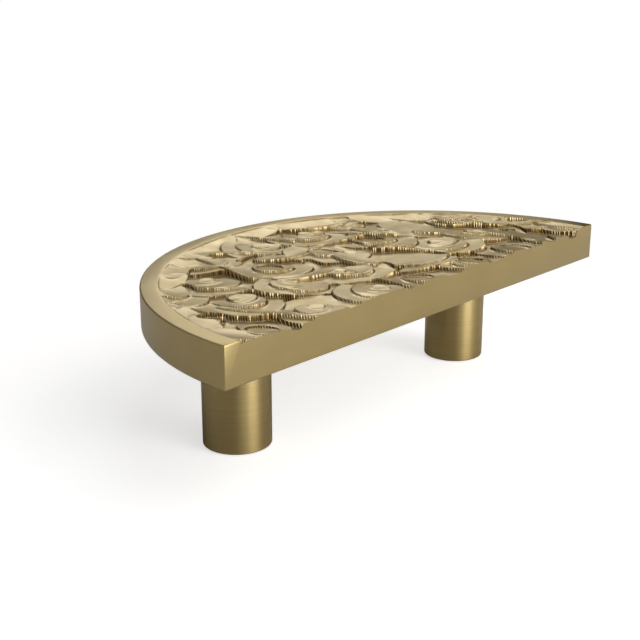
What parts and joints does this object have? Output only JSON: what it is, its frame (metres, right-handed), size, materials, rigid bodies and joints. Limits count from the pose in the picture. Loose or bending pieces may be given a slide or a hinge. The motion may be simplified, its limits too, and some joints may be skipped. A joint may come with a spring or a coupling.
{
  "type": "half moon drawer pull",
  "caption": "Half moon drawer pull: a carved half disc of brass held off the drawer front by round posts, gripped behind its straight or round edge.",
  "frame": {"origin": "under the middle of the bounding box, in the plane of the posts' feet, which is the drawer front", "axes": "+X along the straight edge, +Y from the straight edge towards the round edge, +Z away from the drawer front, out of the carved face"},
  "size_m": [0.126, 0.063, 0.0327],
  "materials": {
    "satin_brass": "satin",
    "brushed_brass": "brushed",
    "zinc_plated_steel": "satin"
  },
  "bodies": {
    "root": {"relief_plate": "satin_brass", "left_post": "brushed_brass", "right_post": "brushed_brass", "left_joining_screw": "zinc_plated_steel", "right_joining_screw": "zinc_plated_steel"}
  },
  "joints": []
}
